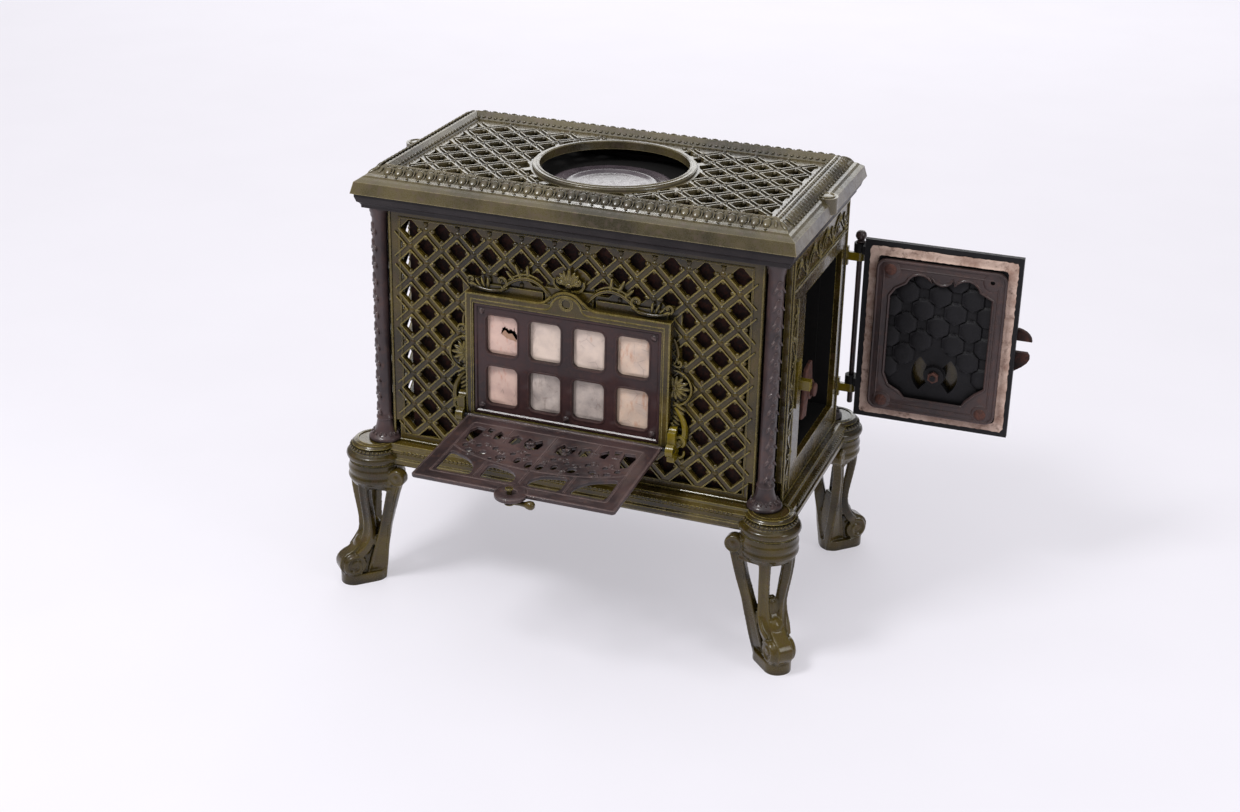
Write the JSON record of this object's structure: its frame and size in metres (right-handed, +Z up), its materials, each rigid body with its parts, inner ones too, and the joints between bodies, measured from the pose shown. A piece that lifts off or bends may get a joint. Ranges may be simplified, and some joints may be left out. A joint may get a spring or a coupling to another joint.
{
  "type": "parlour stove",
  "caption": "Enamelled cast-iron solid-fuel parlour stove: pierced casing on scroll legs, round cooking opening, mica window with drop grille, hinged side fire door.",
  "frame": {"origin": "on the floor, under the centre of the top plate's round cooking opening", "axes": "+Z up; -Y towards the front with the mica window; +X towards the fire door, along the length"},
  "size_m": [0.9153, 0.6006, 0.62],
  "materials": {
    "olive_enamel": "glossy vitreous enamel, worn pale at the edges",
    "violet_enamel": "satin enamel, brownish violet",
    "black_iron": "blackened casting",
    "burnt_iron": "fire-burnt, rusty casting",
    "fireclay": "matte, sooty",
    "furnace_cement": "matte, chalky",
    "mica": "clouded, flaking mica"
  },
  "bodies": {
    "stove": {"base_frame": "olive_enamel", "bottom_plate": "burnt_iron", "leg_front_left": "olive_enamel", "leg_front_right": "olive_enamel", "leg_rear_left": "olive_enamel", "leg_rear_right": "olive_enamel", "leg_bolts": "black_iron", "column_front_left": "violet_enamel", "column_front_right": "violet_enamel", "column_rear_left": "violet_enamel", "column_rear_right": "violet_enamel", "front_panel": "olive_enamel", "rear_panel": "olive_enamel", "left_panel": "olive_enamel", "right_panel": "olive_enamel", "cornice": "black_iron", "top_plate": "olive_enamel", "hot_plate": "black_iron", "firebox_front": "burnt_iron", "firebox_rear": "burnt_iron", "firebox_left": "burnt_iron", "firebox_right": "burnt_iron", "door_throat": "burnt_iron", "firebricks": "fireclay", "flue_collar": "black_iron", "tie_rods": "black_iron", "window_surround": "olive_enamel", "mica_frame": "violet_enamel", "mica_retainer": "black_iron", "mica_screws": "black_iron", "mica_sheet_1": "mica", "mica_sheet_2": "mica", "mica_sheet_3": "mica", "mica_sheet_4": "mica", "mica_sheet_5": "mica", "mica_sheet_6": "mica", "mica_sheet_7": "mica", "mica_sheet_8": "mica", "flap_lug_left": "olive_enamel", "flap_lug_right": "olive_enamel", "door_lug_upper": "olive_enamel", "door_lug_lower": "olive_enamel", "latch_keeper": "olive_enamel", "grate_frame": "burnt_iron", "grate_bearings": "burnt_iron"},
    "lid": {"hot_plate_lid": "black_iron"},
    "flap": {"flap_grille": "violet_enamel", "flap_pins": "black_iron"},
    "button": {"flap_button": "black_iron"},
    "door": {"door_plate": "olive_enamel", "door_seal": "furnace_cement", "door_liner": "violet_enamel", "door_liner_screws": "black_iron", "hinge_rod": "black_iron", "latch_pin": "black_iron"},
    "register": {"air_register": "black_iron", "register_nut": "black_iron"},
    "latch": {"door_latch": "black_iron"},
    "grate": {"shaker_grate": "burnt_iron", "shaker_shaft": "burnt_iron"}
  },
  "joints": [
    {"name": "flap_hinge", "type": "hinge", "parent": "stove", "child": "flap", "pos_m": [0, -0.1775, 0.287], "axis": [1, 0, 0], "range_deg": [-93.4, 0]},
    {"name": "button_turn", "type": "hinge", "parent": "flap", "child": "button", "pos_m": [0, -0.36018, 0.27615], "axis": [0, 0.0593, -0.9982], "range_deg": [0, 90]},
    {"name": "door_hinge", "type": "hinge", "parent": "stove", "child": "door", "pos_m": [0.316, 0.146, 0.4], "axis": [0, 0, 1], "range_deg": [-91.1, 30]},
    {"name": "register_turn", "type": "hinge", "parent": "door", "child": "register", "pos_m": [0.43832, 0.13065, 0.322], "axis": [-0.0192, 0.9998, 0], "range_deg": [0, 90]},
    {"name": "latch_turn", "type": "hinge", "parent": "door", "child": "latch", "pos_m": [0.52405, 0.14529, 0.378], "axis": [-0.0192, 0.9998, 0], "range_deg": [0, 25]},
    {"name": "lid_lift", "type": "slide", "parent": "stove", "child": "lid", "axis": [0, 0, 1], "range_m": [0, 0.15]},
    {"name": "grate_rock", "type": "hinge", "parent": "stove", "child": "grate", "pos_m": [0, 0.04, 0.311], "axis": [1, 0, 0], "range_deg": [-12, 12]}
  ]
}
